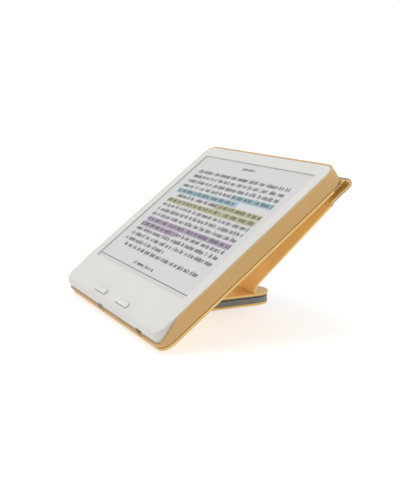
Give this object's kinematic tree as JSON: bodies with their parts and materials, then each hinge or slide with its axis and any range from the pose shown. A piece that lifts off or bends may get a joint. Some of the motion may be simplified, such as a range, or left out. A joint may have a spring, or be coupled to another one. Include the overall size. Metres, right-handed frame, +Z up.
{
  "type": "e-reader",
  "caption": "Landscape e-reader with a wide button grip, propped up in a folding cover whose tray, flap and foot make its stand.",
  "frame": {"origin": "middle of the bottom of the whole object's bounding box, on the table", "axes": "+X along the reader's long side to its right, +Y away from the user, +Z up"},
  "size_m": [0.1636, 0.1246, 0.0983],
  "materials": {
    "housing_white": "fine matte moulded",
    "button_white": "satin moulded",
    "screen_film": "anti-glare film over e-paper",
    "clear_plastic": "clear light guide",
    "circuit_board": "solder mask",
    "black_plastic": "moulded black",
    "steel": "stamped",
    "aluminium": "die cast",
    "battery_foil": "laminated pouch",
    "flex_film": "polyimide",
    "seal_foam": "closed cell",
    "magnet_nickel": "nickel plated",
    "cover_yellow": "fine leather grain",
    "tray_yellow": "matte moulded",
    "lining_grey": "microfibre",
    "card_board": "pressed fibre board"
  },
  "bodies": {
    "reader": {"front_housing": "housing_white", "rear_housing": "housing_white", "perimeter_seal": "seal_foam", "cover_film": "screen_film", "light_guide": "clear_plastic", "light_strip": "flex_film", "display_panel": "black_plastic", "display_flex": "flex_film", "chassis_plate": "aluminium", "chassis_screws": "steel", "main_board": "circuit_board", "board_chips": "black_plastic", "shield_can": "steel", "radio_module": "circuit_board", "cover_sensor": "black_plastic", "battery": "battery_foil", "battery_lead": "flex_film", "antenna": "flex_film", "usb_socket": "steel", "button_flex": "flex_film", "button_domes": "steel", "power_switch": "black_plastic", "tray_shell": "tray_yellow", "tray_bond": "seal_foam", "back_sheet": "cover_yellow", "spine_loop": "cover_yellow"},
    "flap": {"flap_skin": "cover_yellow", "flap_board": "card_board", "flap_lining": "lining_grey"},
    "foot": {"foot_skin": "cover_yellow", "foot_board": "card_board", "foot_magnets": "magnet_nickel", "foot_lining": "lining_grey"},
    "pad": {"pad_sole": "cover_yellow", "pad_core": "card_board", "pad_lining": "lining_grey"},
    "page_button_left": {"page_button_left": "button_white"},
    "page_button_right": {"page_button_right": "button_white"},
    "power_button": {"power_button": "black_plastic"}
  },
  "joints": [
    {"name": "page_button_left_press", "type": "slide", "parent": "reader", "child": "page_button_left", "axis": [0, 0.6074, -0.7944], "range_m": [0, 0.0003], "stiffness_N_per_m": 900},
    {"name": "page_button_right_press", "type": "slide", "parent": "reader", "child": "page_button_right", "axis": [0, 0.6074, -0.7944], "range_m": [0, 0.0003], "stiffness_N_per_m": 900},
    {"name": "power_button_press", "type": "slide", "parent": "reader", "child": "power_button", "axis": [0, 0.7944, 0.6074], "range_m": [0, 0.00025], "stiffness_N_per_m": 900},
    {"name": "stand_hinge", "type": "hinge", "parent": "reader", "child": "flap", "pos_m": [0, 0.04914, 0.07691], "axis": [1, 0, 0], "range_deg": [-15, 75]},
    {"name": "foot_hinge", "type": "hinge", "parent": "flap", "child": "foot", "pos_m": [0, 0.03894, 0.00801], "axis": [1, 0, 0], "range_deg": [-10, 60]},
    {"name": "pad_hinge", "type": "hinge", "parent": "foot", "child": "pad", "pos_m": [0, 0.00354, 0.00541], "axis": [-1, 0, 0], "range_deg": [0, 60]}
  ]
}
